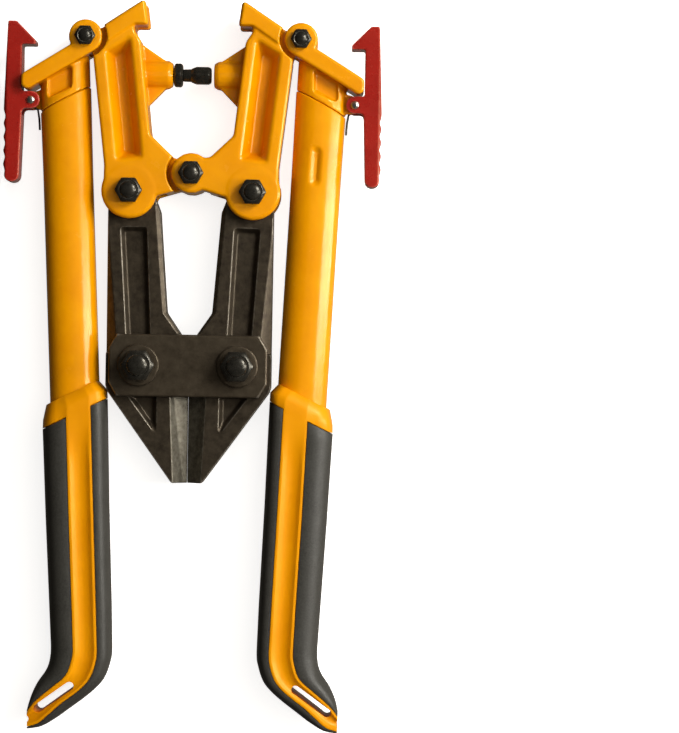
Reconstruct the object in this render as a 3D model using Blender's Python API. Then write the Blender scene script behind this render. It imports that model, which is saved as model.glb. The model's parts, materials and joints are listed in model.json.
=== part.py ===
"""Folding bolt cutters, lying flat and folded for storage.

The jaws point to -Y, the handles are folded down beside them, and +Z is up, away from the
surface that the tool lies on. Two cast arms work the jaws through a toggle. Each handle hangs on
a fold bolt at the top of its arm: it swings outward by about half a turn, until its flange lies on
the arm's flange, and a sprung latch then hooks over the end of the arm's flange.

Sizes are in millimetres, measured from the tool's centre line (X), the jaw bolts' level (Y) and the
middle of its thickness (Z). Outlines are drawn for the left-hand piece as (distance out from the
centre line, Y). Each right-hand piece is the left-hand one turned half a turn about the Y axis.
"""
import math

import bmesh
import bpy
from mathutils import Matrix, Vector

MM = 0.001
GAP = 0.3                     # running gap between neighbouring pieces

# Pivots, as (distance out, Y)
JAW_PIVOT = (19.9, 0.0)
TAIL_PIVOT = (24.95, 70.4)
CENTRE_PIVOT = (0.0, 77.8)
FOLD_PIVOT = (43.5, 132.4)
LATCH_PIVOT = (65.6, 106.6)

# Half thicknesses about the middle plane
JAW_HALF = 6.5
PLATE_THICK = 4.5
ARM_HALF = 10.6
WEB_HALF = 4.2
FLANGE_HALF = 10.8
TONGUE_HALF = 5.2
TUBE_HALF = 8.8
LATCH_HALF = 6.0

# Arms
TAIL_EAR_RADIUS = 11.3
OVAL_POWER = 0.86             # 1 is an ellipse, and less is squarer
TAIL_SLOT_RADIUS = 10.0       # the jaw's rounded tail turns inside this radius
CENTRE_EAR_RADIUS = 8.2
CENTRE_SHOULDER = 10.1        # the other arm's ear turns inside this radius
FOLD_BOSS_RADIUS = 6.8
FOLD_SHOULDER = 8.7
ARM_FLANGE_SLOPE = math.radians(33.6)
HANDLE_FLANGE_SLOPE = math.radians(31.1)
FLANGE_THICK = 6.5
FLANGE_BELOW_AXIS = 0.2       # the flange faces pass just under the fold axis, so that they meet
STOP_LEVEL = 118.0            # Y of the stop screw
BOSS_FACE = 8.3
BOSS_RADIUS = 5.9

# Bolts: shank radii, and the slack of the hole where the toggle's loop is opened
JAW_BOLT = 3.9
TAIL_BOLT = 3.2
CENTRE_BOLT = 2.9
FOLD_BOLT = 2.4
STOP_SCREW = 2.45
RIVET = 1.2
CENTRE_SLACK = 1.6

# Tubes and grips
TUBE_WIDTH = 20.2
TUBE_WALL = 1.5
TUBE_TOP = (51.8, 107.0)      # the tube's middle at its slanted top
TUBE_FOOT = (42.6, -88.0)
TUBE_SLANT = math.radians(26.0)
TUBE_NECK = 1.3               # how far the tube is drawn in, all round, inside the grip
NECK_FROM = 126.0             # where it is drawn in, as a distance down the tube
NECK_TO = 136.0
PANEL_THICK = 1.5
SEAT_LIMIT = 0.7              # a panel's seat is at most this share of the way in to the strip
ROUND_SIDES = 18
TUBE_SIDES = 28

LOWEST = 16.6                 # from the middle plane down to the undersides of the bolt heads
MIDDLE_Y = -0.34              # Y of the middle of the tool's length


# ---------------------------------------------------------------- materials

def make_material(name, colour, roughness, metallic=0.0):
    made = bpy.data.materials.new(name)
    made.use_nodes = True
    shader = made.node_tree.nodes["Principled BSDF"]
    shader.inputs["Base Color"].default_value = (*colour, 1.0)
    shader.inputs["Roughness"].default_value = roughness
    shader.inputs["Metallic"].default_value = metallic
    return made


# ---------------------------------------------------------------- outlines

def arc(centre, radius, start, end, steps):
    """Points on an arc, from angle start to angle end in degrees."""
    points = []
    for step in range(steps + 1):
        angle = math.radians(start + (end - start) * step / steps)
        points.append((centre[0] + radius * math.cos(angle), centre[1] + radius * math.sin(angle)))
    return points


def circle(centre, radius, sides=ROUND_SIDES):
    return arc(centre, radius, 0.0, 360.0 - 360.0 / sides, sides - 1)


def hexagon(centre, corner_radius, sides=ROUND_SIDES):
    """A hexagon drawn with as many points as a circle, so that the two can be lofted together."""
    points = []
    for step in range(sides):
        angle = 2.0 * math.pi * step / sides
        off_flat = (angle % (math.pi / 3.0)) - math.pi / 6.0
        radius = corner_radius * math.cos(math.pi / 6.0) / math.cos(off_flat)
        points.append((centre[0] + radius * math.cos(angle), centre[1] + radius * math.sin(angle)))
    return points


def rounded(corners):
    """A closed outline from (x, y) or (x, y, radius) corners; a radius rounds its corner."""
    points = []
    count = len(corners)
    for index, corner in enumerate(corners):
        here = Vector(corner[:2])
        radius = corner[2] if len(corner) > 2 else 0.0
        if not radius:
            points.append(tuple(here))
            continue
        to_last = (Vector(corners[index - 1][:2]) - here).normalized()
        to_next = (Vector(corners[(index + 1) % count][:2]) - here).normalized()
        half = to_last.angle(to_next) / 2.0
        reach = radius / math.tan(half)
        middle = here + (to_last + to_next).normalized() * (radius / math.sin(half))
        start = here + to_last * reach - middle
        turn = start.angle_signed(here + to_next * reach - middle)
        step_angle = 45.0 if radius < 1.0 else 26.0
        steps = max(1, round(abs(math.degrees(turn)) / step_angle))
        for step in range(steps + 1):
            points.append(tuple(middle + Matrix.Rotation(-turn * step / steps, 2) @ start))
    return points


def left(points):
    """Left-hand places in X and Y, from (distance out, Y), or from corners with a radius."""
    return [(-point[0], *point[1:]) for point in points]


def along_slope(pivot, slope, distance, below):
    """A point at a distance up a line that slopes towards the centre line, and below it."""
    out = pivot[0] - distance * math.cos(slope) - below * math.sin(slope)
    return (out, pivot[1] + distance * math.sin(slope) - below * math.cos(slope))


def oval(middle, direction, half_width, half_depth, count):
    """A squarish oval across a tube, as (distance out, Y, Z) points; direction runs across it."""
    points = []
    for step in range(count):
        angle = 2.0 * math.pi * step / count
        across = math.copysign(abs(math.cos(angle)) ** OVAL_POWER, math.cos(angle)) * half_width
        height = math.copysign(abs(math.sin(angle)) ** OVAL_POWER, math.sin(angle)) * half_depth
        points.append((middle[0] + direction[0] * across, middle[1] + direction[1] * across, height))
    return points


# ---------------------------------------------------------------- solids

def to_object(bm, name="piece"):
    bmesh.ops.recalc_face_normals(bm, faces=bm.faces)
    mesh = bpy.data.meshes.new(name)
    bm.to_mesh(mesh)
    bm.free()
    made = bpy.data.objects.new(name, mesh)
    bpy.context.scene.collection.objects.link(made)
    return made


def loft(rings):
    """A solid through rings of (x, y, z) points, closed with a flat cap at each end."""
    bm = bmesh.new()
    loops = [[bm.verts.new(Vector(point) * MM) for point in ring] for ring in rings]
    count = len(rings[0])
    for lower, upper in zip(loops, loops[1:]):
        for index in range(count):
            following = (index + 1) % count
            bm.faces.new((lower[index], lower[following], upper[following], upper[index]))
    bm.faces.new(loops[0])
    bm.faces.new(loops[-1])
    return to_object(bm)


def pipe(outer, inner):
    """A tube with a wall: outer and inner rings, joined to each other at both ends."""
    bm = bmesh.new()
    skins = []
    for rings in (outer, inner):
        skins.append([[bm.verts.new(Vector(point) * MM) for point in ring] for ring in rings])
    count = len(outer[0])
    for loops in skins:
        for lower, upper in zip(loops, loops[1:]):
            for index in range(count):
                following = (index + 1) % count
                bm.faces.new((lower[index], lower[following], upper[following], upper[index]))
    for end in (0, -1):
        for index in range(count):
            following = (index + 1) % count
            bm.faces.new((skins[0][end][index], skins[0][end][following],
                          skins[1][end][following], skins[1][end][index]))
    return to_object(bm)


def prism(outline, low, high):
    """An outline in X and Y, raised from Z = low to Z = high."""
    return loft([[(x, y, z) for x, y in outline] for z in (low, high)])


def inset(corners, distance):
    """A convex outline's (x, y, radius) corners, moved in from every side by a distance."""
    moved = []
    for index, (x, y, radius) in enumerate(corners):
        here = Vector((x, y))
        to_last = (Vector(corners[index - 1][:2]) - here).normalized()
        to_next = (Vector(corners[(index + 1) % len(corners)][:2]) - here).normalized()
        inward = (to_last + to_next).normalized()
        spot = here + inward * (distance / math.sin(to_last.angle(to_next) / 2.0))
        moved.append((spot.x, spot.y, radius))
    return moved


def recess(corners, side, floor, face, draft):
    """A cutter for a recess in the front or back, whose walls lean in by the draft down to its floor."""
    rings = []
    for depth, lean in ((floor, draft), (face, 0.0), (face + 1.0, 0.0)):
        rings.append([(x, y, side * depth) for x, y in rounded(inset(corners, lean))])
    return loft(rings)


def disc(centre, radius, low, high, sides=ROUND_SIDES):
    return prism(circle(centre, radius, sides), low, high)


def turned(centre, steps):
    """A solid along Z through (outline function, radius, Z) steps about a centre."""
    return loft([[(x, y, z) for x, y in shape(centre, radius)] for shape, radius, z in steps])


def turned_x(level, steps):
    """The same along X, as (outline function, radius, distance out) steps at a level in Y."""
    rings = []
    for shape, radius, out in steps:
        rings.append([(-out, y, z) for y, z in shape((level, 0.0), radius)])
    return loft(rings)


def combine(target, tools, operation):
    """Joins the tools to the target or cuts them out of it, and removes them."""
    for tool in tools:
        modifier = target.modifiers.new("combine", "BOOLEAN")
        modifier.operation = operation
        modifier.object = tool
    graph = bpy.context.evaluated_depsgraph_get()
    mesh = bpy.data.meshes.new_from_object(target.evaluated_get(graph))
    target.modifiers.clear()
    target.data = mesh
    for tool in tools:
        bpy.data.objects.remove(tool, do_unlink=True)
    return target


def join(target, *tools):
    return combine(target, tools, "UNION")


def cut(target, *tools):
    return combine(target, tools, "DIFFERENCE")


def soften(piece, width, segments, levels=None):
    """Rounds the sharp edges, or only those that lie at the given heights in Z."""
    bm = bmesh.new()
    bm.from_mesh(piece.data)
    chosen = []
    for edge in bm.edges:
        if edge.calc_face_angle(0.0) < math.radians(35.0):
            continue
        heights = [vert.co.z / MM for vert in edge.verts]
        if levels is None or any(all(abs(height - level) < 0.01 for height in heights) for level in levels):
            chosen.append(edge)
    bmesh.ops.bevel(bm, geom=chosen, offset=width * MM, segments=segments, profile=0.5,
                    affect="EDGES", clamp_overlap=True)
    bm.to_mesh(piece.data)
    bm.free()
    return piece


# ---------------------------------------------------------------- jaws and plates

def edge_draft(start, end, widths, side):
    """A cutter that leans a jaw's long edge over, between two (distance out, Y) points.

    The widths are how far it cuts into the face at each end; a negative one cuts away from the centre line.
    """
    rings = []
    for (out, y), width in zip((start, end), widths):
        away = math.copysign(1.0, width)
        rings.append([(-(out - width), y, side * (JAW_HALF + 0.1)), (-(out + away), y, side * (JAW_HALF + 0.1)),
                      (-(out + away), y, side * (JAW_HALF - 0.1 - abs(width) * 0.9))])
    return loft(rings)


def jaw():
    """A forged jaw: blade below the bolt, long recessed tail above it."""
    outline = rounded([
        (0.15, -47.5, 0.0), (6.2, -47.5, 0.8), (33.5, -9.6, 4.0), (33.5, 66.0, 6.0),
        (31.2, 76.6, 4.0), (24.0, 79.0, 6.0), (17.6, 75.2, 4.0), (12.4, 62.2, 1.5),
        (9.2, 21.4, 2.0), (3.3, 12.8, 1.0), (1.2, 5.6, 1.0), (0.15, 0.0, 0.0),
    ])
    blank = prism(left(outline), -JAW_HALF, JAW_HALF)
    tail_pocket = [(28.3, 55.8, 1.2), (17.6, 56.0, 1.2), (15.5, 10.5, 1.2), (25.3, 10.5, 1.2)]
    blade_pocket = [(25.0, -11.5, 0.8), (12.7, -11.5, 0.8), (12.5, -28.3, 0.8)]
    pockets = []
    for shape in (tail_pocket, blade_pocket):
        for side in (-1, 1):
            pockets.append(recess(left(shape), side, JAW_HALF - 2.6, JAW_HALF, 1.5))
    cut(blank, *pockets)
    drafts = []
    for side in (-1, 1):
        drafts.append(edge_draft((33.5, 68.0), (33.5, 5.0), (0.0, 5.0), side))
        drafts.append(edge_draft((13.1, 65.0), (9.2, 21.4), (-1.5, -1.7), side))
        drafts.append(edge_draft((9.2, 21.4), (3.3, 12.8), (-1.7, -1.4), side))
    cut(blank, *drafts)
    soften(blank, 0.5, 1, (-JAW_HALF, JAW_HALF))
    bevels = []
    for side in (-1, 1):
        rings = []
        for width, y in ((5.1, -60.0), (8.4, 9.0)):
            rings.append([(1.0, y, side * 0.7), (-0.2, y, side * 0.7), (-width, y, side * 6.6),
                          (-width, y, side * 9.0), (1.0, y, side * 9.0)])
        bevels.append(loft(rings))
    cut(blank, *bevels)
    holes = [
        disc((-JAW_PIVOT[0], JAW_PIVOT[1]), JAW_BOLT + GAP, -20.0, 20.0),
        disc((-TAIL_PIVOT[0], TAIL_PIVOT[1]), TAIL_BOLT + GAP, -20.0, 20.0),
    ]
    return cut(blank, *holes)


def jaw_plate():
    """The front plate of the pair that holds both jaw bolts; the back one is its mirror."""
    half_width = 32.0
    top = 12.6
    bottom = -12.6
    corners = []
    for side in (-1, 1):
        edge = [(side * (half_width - 3.3), bottom), (side * half_width, bottom + 5.6),
                (side * half_width, top - 5.6), (side * (half_width - 3.3), top)]
        corners += edge if side > 0 else edge[::-1]
    low = JAW_HALF + GAP
    plate = prism(corners, low, low + PLATE_THICK)
    soften(plate, 0.5, 1, (low, low + PLATE_THICK))
    holes = [disc((side * JAW_PIVOT[0], JAW_PIVOT[1]), JAW_BOLT + GAP, 0.0, 20.0) for side in (-1, 1)]
    return cut(plate, *holes)


# ---------------------------------------------------------------- fasteners

def bolt(pivot, shank, head_low, head_top, head_corner, end, flange=0.0):
    """A bolt along Z: hex head below, shank, and a domed end that stands out of its nut."""
    centre = (-pivot[0], pivot[1])
    steps = [(circle, head_corner * 0.84, head_low), (hexagon, head_corner, head_low + 0.7)]
    if flange:
        steps += [(hexagon, head_corner, head_top - 1.2), (circle, flange, head_top - 1.0)]
        steps += [(circle, flange, head_top)]
    else:
        steps += [(hexagon, head_corner, head_top)]
    steps += [(circle, shank, head_top), (circle, shank, end - 1.2), (circle, shank * 0.8, end - 0.4),
              (circle, shank * 0.4, end)]
    return turned(centre, steps)


def nut(pivot, shank, low, high, corner):
    """A hex nut with chamfered corners and a plain hole."""
    centre = (-pivot[0], pivot[1])
    steps = [(hexagon, corner, low), (hexagon, corner, high - 0.8), (circle, corner * 0.84, high)]
    body = turned(centre, steps)
    return cut(body, disc(centre, shank + GAP, low - 1.0, high + 1.0))


def washer(pivot, shank, radius, low, high):
    centre = (-pivot[0], pivot[1])
    ring = disc(centre, radius, low, high, 32)
    return cut(ring, disc(centre, shank + GAP, low - 1.0, high + 1.0))


# ---------------------------------------------------------------- arms

def arm_body():
    """The arm's full-depth casting: rails round a recessed web, the lobe to the centre, the fold eye."""
    fold = left([FOLD_PIVOT])[0]
    centre = left([CENTRE_PIVOT])[0]
    slope = math.degrees(ARM_FLANGE_SLOPE)
    corners = left([(14.0, 68.2), (24.0, 60.8), (36.0, 70.6), (34.9, 78.0, 20.0), (40.3, 124.0)])
    corners += arc(fold, FOLD_BOSS_RADIUS - 0.2, -68.0, -360.0 + slope, 12)
    corners += left([
        (24.6, 141.0), (23.6, 134.6), (21.1, 131.0, 3.0), (16.8, 93.2, 2.5), (7.6, 84.4, 1.5),
    ])
    corners += arc(centre, CENTRE_EAR_RADIUS, 130.0, -124.0, 12)
    body = prism(rounded(corners), -ARM_HALF, ARM_HALF)
    pocket = [(30.3, 82.6, 1.0), (35.3, 126.4, 1.0), (25.3, 132.5, 1.0), (19.9, 83.6, 1.0)]
    recesses = [recess(left(pocket), side, WEB_HALF, ARM_HALF, 3.2) for side in (-1, 1)]
    cut(body, *recesses)
    return soften(body, 1.7, 2, (-ARM_HALF, ARM_HALF))


def arm_flange():
    """The slanted flange that meets the handle's flange, ending in the tooth that the latch hooks."""
    near = along_slope(FOLD_PIVOT, ARM_FLANGE_SLOPE, 5.0, FLANGE_BELOW_AXIS)
    top = along_slope(FOLD_PIVOT, ARM_FLANGE_SLOPE, 28.6, FLANGE_BELOW_AXIS)
    under = along_slope(FOLD_PIVOT, ARM_FLANGE_SLOPE, 19.6, FLANGE_BELOW_AXIS + FLANGE_THICK)
    near_under = along_slope(FOLD_PIVOT, ARM_FLANGE_SLOPE, 5.0, FLANGE_BELOW_AXIS + FLANGE_THICK)
    tooth = left(rounded([near, (*top, 1.2), (18.1, 137.2, 1.0), (under[0], 137.2), near_under]))
    flange = prism(tooth, -FLANGE_HALF, FLANGE_HALF)
    return soften(flange, 0.8, 2, (-FLANGE_HALF, FLANGE_HALF))


def arm(slack, bored):
    """A cast arm: clevis on the jaw's tail, half-lap ear at the centre, tongue at the fold bolt."""
    tail = left([TAIL_PIVOT])[0]
    centre = left([CENTRE_PIVOT])[0]
    fold = left([FOLD_PIVOT])[0]
    casting = arm_body()
    ears = disc(tail, TAIL_EAR_RADIUS, -FLANGE_HALF, FLANGE_HALF, 28)
    soften(ears, 1.0, 1)
    boss = turned_x(STOP_LEVEL, [
        (circle, BOSS_RADIUS, 22.6),
        (circle, BOSS_RADIUS, BOSS_FACE + 1.8),
        (circle, BOSS_RADIUS - 1.1, BOSS_FACE),
    ])
    gusset_outline = left([
        (23.5, 131.6), (20.5, 129.8), (10.7, 123.2), (10.7, 112.8), (17.3, 106.0), (20.6, 103.0),
    ])
    gusset = prism(gusset_outline, -2.6, 2.6)
    join(casting, arm_flange(), ears, boss, gusset)
    slot = disc(tail, TAIL_SLOT_RADIUS, -JAW_HALF - GAP, JAW_HALF + GAP, 28)
    sweep = prism([tail] + arc(tail, 14.5, 4.0, -172.0, 10), -JAW_HALF - GAP, JAW_HALF + GAP)
    shoulder_path = prism([tail] + arc(tail, 12.3, -170.0, -216.0, 6), -JAW_HALF - GAP, JAW_HALF + GAP)
    hook_path = prism(arc(fold, 20.3, 5.0, 48.0, 8) + arc(fold, 34.0, 48.0, 5.0, 8),
                      -LATCH_HALF - GAP, LATCH_HALF + GAP)
    half_lap = disc(centre, CENTRE_SHOULDER, -GAP / 2.0, 20.0, 28)
    shoulders = [
        disc(fold, FOLD_SHOULDER, TONGUE_HALF, 20.0, 28),
        disc(fold, FOLD_SHOULDER, -20.0, -TONGUE_HALF, 28),
    ]
    cut(casting, slot, sweep, shoulder_path, hook_path, half_lap, *shoulders)
    cut(casting,
        disc(tail, TAIL_BOLT + GAP, -20.0, 20.0),
        disc(centre, CENTRE_BOLT + slack, -20.0, 20.0),
        disc(fold, FOLD_BOLT + GAP, -20.0, 20.0))
    if bored:
        cut(casting, screw_hole(25.0, 0.0))
    return casting


def screw_hole(outer, inner):
    """A cutter for the stop screw's hole, between two distances out."""
    radius = STOP_SCREW + GAP
    return turned_x(STOP_LEVEL, [(circle, radius, outer), (circle, radius, inner)])


def stop_screw():
    """The screw that stops the arms' bosses when the blades meet."""
    return turned_x(STOP_LEVEL, [
        (circle, STOP_SCREW - 0.6, 21.4), (circle, STOP_SCREW, 20.7), (circle, STOP_SCREW, 1.6),
        (circle, 3.1, 0.9), (hexagon, 4.0, 0.5), (hexagon, 4.0, -6.2), (circle, 3.2, -7.2),
    ])


def lock_nut():
    """The nut that locks the stop screw against the left arm's boss."""
    low = BOSS_FACE - GAP
    body = turned_x(STOP_LEVEL, [
        (circle, 4.7, low), (hexagon, 5.4, low - 0.6), (hexagon, 5.4, low - 3.0), (circle, 4.6, low - 3.6),
    ])
    return cut(body, screw_hole(low + 1.0, 3.0))


# ---------------------------------------------------------------- handles

def tube_line(distance):
    """The tube's middle at a distance down from its top, and the direction across it."""
    top = Vector(TUBE_TOP)
    down = (Vector(TUBE_FOOT) - top).normalized()
    middle = top + down * distance
    return middle, Vector((-down.y, down.x))


def tube_ring(distance, inset, slant=0.0):
    """A ring round the tube, drawn for the left hand, slanted up towards the centre line if asked."""
    middle, across = tube_line(distance)
    half_width = TUBE_WIDTH / 2.0 - inset
    ring = oval(middle, across, half_width, TUBE_HALF - inset, TUBE_SIDES)
    points = []
    for out, y, z in ring:
        off_middle = (Vector((out, y)) - middle).dot(across)
        lift = -off_middle * math.tan(slant)
        points.append((-out, y + lift, z))
    return points


def tube():
    """The steel tube: slanted at the top, and pressed in on one face to grip the handle's end."""
    length = (Vector(TUBE_TOP) - Vector(TUBE_FOOT)).length
    skins = []
    for inset in (0.0, TUBE_WALL):
        skins.append([tube_ring(0.0, inset, TUBE_SLANT), tube_ring(NECK_FROM, inset),
                      tube_ring(NECK_TO, inset + TUBE_NECK), tube_ring(length, inset + TUBE_NECK)])
    made = pipe(*skins)
    middle, across = tube_line(25.5)
    dent = bmesh.new()
    bmesh.ops.create_uvsphere(dent, u_segments=16, v_segments=8, radius=1.0)
    size = Matrix.Diagonal((2.6 * MM, 8.4 * MM, 2.2 * MM, 1.0))
    place = Matrix.Translation(Vector((-middle.x, middle.y, -TUBE_HALF - 1.0)) * MM)
    bmesh.ops.transform(dent, matrix=place @ size, verts=dent.verts)
    return cut(made, to_object(dent))


def handle_end():
    """The cast end of a handle: fold clevis, slanted flange, and a neck that plugs into the tube."""
    fold = left([FOLD_PIVOT])[0]
    slope = math.degrees(HANDLE_FLANGE_SLOPE)
    top_end = along_slope(FOLD_PIVOT, HANDLE_FLANGE_SLOPE, -30.0, FLANGE_BELOW_AXIS)
    low_end = along_slope(FOLD_PIVOT, HANDLE_FLANGE_SLOPE, -31.4, FLANGE_BELOW_AXIS + FLANGE_THICK)
    corners = left([(*low_end, 2.0), (69.2, 112.0, 1.5), (69.2, top_end[1], 1.6)])
    corners += arc(fold, FOLD_BOSS_RADIUS, 180.0 + slope - 1.7, slope - 90.0, 16)
    casting = prism(rounded(corners), -FLANGE_HALF, FLANGE_HALF)
    soften(casting, 0.9, 2, (-FLANGE_HALF, FLANGE_HALF))
    neck = loft([tube_ring(-GAP - 0.1, 0.2, TUBE_SLANT), tube_ring(-14.0, 0.2, HANDLE_FLANGE_SLOPE)])
    neck_pocket = [(59.4, 106.4, 1.0), (48.6, 111.6, 1.0), (48.6, 121.6, 1.0), (59.2, 115.6, 1.0)]
    recesses = [recess(left(neck_pocket), side, 5.8, TUBE_HALF, 0.9) for side in (-1, 1)]
    cut(neck, *recesses)
    plug = loft([tube_ring(22.0, TUBE_WALL + GAP), tube_ring(-4.0, TUBE_WALL + GAP, TUBE_SLANT)])
    lug_outline = rounded([
        (58.0, 112.0), (65.6, 110.4, 3.0), (69.0, 106.6, 3.0), (65.6, 103.2, 3.0), (58.0, 103.2),
    ])
    lug = prism(left(lug_outline), -3.2, 0.0)
    join(casting, neck, plug, lug)
    cut(casting,
        disc(fold, FOLD_BOSS_RADIUS + GAP, -TONGUE_HALF - GAP, TONGUE_HALF + GAP, 32),
        disc(fold, FOLD_BOLT + GAP, -20.0, 20.0),
        disc(left([LATCH_PIVOT])[0], RIVET + GAP, -10.0, 10.0, 12))
    return casting


# ---------------------------------------------------------------- grips

# Stations down the grip: outer edge, inner edge, and the yellow strip's edges as shares of the width
GRIP_STATIONS = [
    ((58.9, -26.4), (33.0, -13.6), 0.40, 0.77),
    ((57.1, -62.0), (31.6, -56.0), 0.40, 0.78),
    ((54.9, -100.0), (29.9, -98.0), 0.40, 0.78),
    ((54.1, -114.0), (29.4, -115.5), 0.40, 0.785),
    ((54.3, -119.0), (30.2, -121.5), 0.39, 0.785),
    ((55.0, -122.2), (32.2, -127.2), 0.385, 0.78),
    ((56.2, -124.8), (35.2, -131.0), 0.37, 0.775),
    ((57.7, -127.0), (39.6, -134.9), 0.34, 0.765),
    ((59.3, -129.4), (45.3, -139.2), 0.315, 0.75),
    ((61.1, -133.2), (51.4, -143.7), 0.25, 0.76),
    ((62.3, -137.0), (57.0, -146.9), 0.18, 0.80),
    ((62.8, -139.6), (62.6, -147.9), 0.16, 0.84),
]
GRIP_DEPTHS = [12.0, 12.0, 12.0, 12.0, 12.0, 11.9, 11.7, 11.4, 11.0, 10.4, 9.6, 8.8]
SIDE_STEPS = 5


def grip_side(share_edge, share_strip, depth, inset):
    """Points from the strip's edge round one side of the grip, front to back, as (share, Z)."""
    points = []
    for step in range(SIDE_STEPS + 1):
        angle = math.pi / 2.0 - math.pi * step / SIDE_STEPS
        across = math.copysign(abs(math.cos(angle)) ** 0.6, math.cos(angle))
        height = math.copysign(abs(math.sin(angle)) ** 0.8, math.sin(angle))
        share = share_strip + (share_edge - share_strip) * across
        points.append((share, height * (depth - inset)))
    return points


def grip_point(station, share, z):
    outer, inner = Vector(station[0]), Vector(station[1])
    place = outer + (inner - outer) * share
    return (-place.x, place.y, z)


def grip_core_ring(station, depth, inset):
    """The core's section: strips at front and back, and seats for the two rubber panels."""
    width = (Vector(station[0]) - Vector(station[1])).length
    first, second = station[2], station[3]
    narrow = inset / width
    outer_side = grip_side(min(narrow, SEAT_LIMIT * first), first, depth, inset)
    inner_side = grip_side(1.0 - min(narrow, SEAT_LIMIT * (1.0 - second)), second, depth, inset)
    ring = [(first, depth)] + outer_side + [(first, -depth)]
    ring += [(second, -depth)] + inner_side[::-1] + [(second, depth)]
    return [grip_point(station, share, z) for share, z in ring]


def grip_panel_ring(station, depth, side):
    """A rubber panel's section: a skin round one side of the core, from strip to strip."""
    width = (Vector(station[0]) - Vector(station[1])).length
    edge, strip = (0.0, station[2]) if side == "outer" else (1.0, station[3])
    inward = 1.0 if side == "outer" else -1.0
    clear = GAP / width * -inward
    seat = min(PANEL_THICK / width, SEAT_LIMIT * abs(strip - edge)) * inward + clear
    outside = grip_side(edge, strip + clear, depth - 0.2, 0.0)
    inside = grip_side(edge + seat, strip + clear, depth - 0.2, PANEL_THICK - GAP - 0.2)
    return [grip_point(station, share, z) for share, z in outside + inside[::-1]]


def shifted(station, distance):
    """A station moved along the grip, away from the collar."""
    outer, inner = station[:2]
    return ((outer[0], outer[1] - distance), (inner[0], inner[1] - distance)) + station[2:]


def grip_core():
    """The hard plastic core: slanted collar, strips front and back, hanging slot in the bent end."""
    first = GRIP_STATIONS[0]
    mouth = ((57.6, -16.9), (36.6, -6.6), 0.36, 0.76)
    crest = ((58.8, -23.0), (33.2, -10.2), 0.40, 0.77)
    rings = [grip_core_ring(mouth, TUBE_HALF + 0.9, 0.01), grip_core_ring(crest, GRIP_DEPTHS[0], 0.01),
             grip_core_ring(first, GRIP_DEPTHS[0], 0.01)]
    rings.append(grip_core_ring(shifted(first, 0.1), GRIP_DEPTHS[0], PANEL_THICK))
    for station, depth in zip(GRIP_STATIONS[1:], GRIP_DEPTHS[1:]):
        rings.append(grip_core_ring(station, depth, PANEL_THICK))
    core = loft(rings)
    length = (Vector(TUBE_TOP) - Vector(TUBE_FOOT)).length
    bore = loft([tube_ring(90.0, -GAP), tube_ring(NECK_FROM, -GAP),
                 tube_ring(NECK_TO, TUBE_NECK - GAP), tube_ring(length + 1.0, TUBE_NECK - GAP)])
    slot_outline = rounded([
        (46.3, -127.6, 1.3), (43.4, -130.6, 1.3), (59.5, -141.7, 1.0), (59.5, -137.9, 1.3),
    ])
    return cut(core, bore, prism(left(slot_outline), -20.0, 20.0))


def grip_panel(side):
    """One of the two rubber panels that wrap the sides of the grip."""
    rings = [grip_panel_ring(shifted(GRIP_STATIONS[0], 0.4), GRIP_DEPTHS[0], side)]
    for station, depth in zip(GRIP_STATIONS[1:], GRIP_DEPTHS[1:]):
        rings.append(grip_panel_ring(station, depth, side))
    return loft(rings)


# ---------------------------------------------------------------- latches

def latch():
    """The red lever: hook at the top, clevis on the rivet, serrated tail for the fingers."""
    serrations = []
    pitch = 5.5
    teeth = 5
    for tooth in range(teeth):
        crest = 102.6 - pitch * tooth
        serrations += [(76.6, crest, 1.2), (75.7, crest - pitch / 2.0, 1.6)]
    hook = [(69.5, 129.2, 0.5), (64.0, 129.2, 0.3), (64.0, 130.8, 0.4)]
    hook += [(71.8, 138.6, 0.5), (75.3, 138.6, 0.5)]
    tail = [(76.7, 73.4, 2.8), (70.1, 73.4, 2.8), (69.2, 103.2, 1.5)]
    ear = [(62.0, 103.2, 3.3), (62.0, 110.2, 3.3), (69.5, 110.2, 0.8)]
    corners = hook + [(76.5, 105.4, 1.0)] + serrations + tail + ear
    lever = prism(left(rounded(corners)), -LATCH_HALF, LATCH_HALF)
    bevels = []
    for side in (-1, 1):
        wedge = [(75.2, side * 6.2), (78.0, side * 6.2), (78.0, side * 3.6)]
        bevels.append(loft([[(-out, y, z) for out, z in wedge] for y in (70.0, 142.0)]))
    cut(lever, *bevels)
    soften(lever, 0.6, 1, (-LATCH_HALF, LATCH_HALF))
    clevis = prism(left([(60.0, 101.0), (70.6, 101.0), (70.6, 111.4), (60.0, 111.4)]), -3.5, 3.5)
    hole = disc(left([LATCH_PIVOT])[0], RIVET + GAP, -10.0, 10.0, 12)
    return cut(lever, clevis, hole)


def latch_rivet():
    """The silver rivet, headed at both ends."""
    head = LATCH_HALF + GAP
    half = [(RIVET, head), (1.7, head), (1.6, head + 0.5), (0.7, head + 0.9)]
    steps = [(radius, -z) for radius, z in reversed(half)] + half
    centre = left([LATCH_PIVOT])[0]
    return loft([[(x, y, z) for x, y in circle(centre, radius, 12)] for radius, z in steps])


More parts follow.
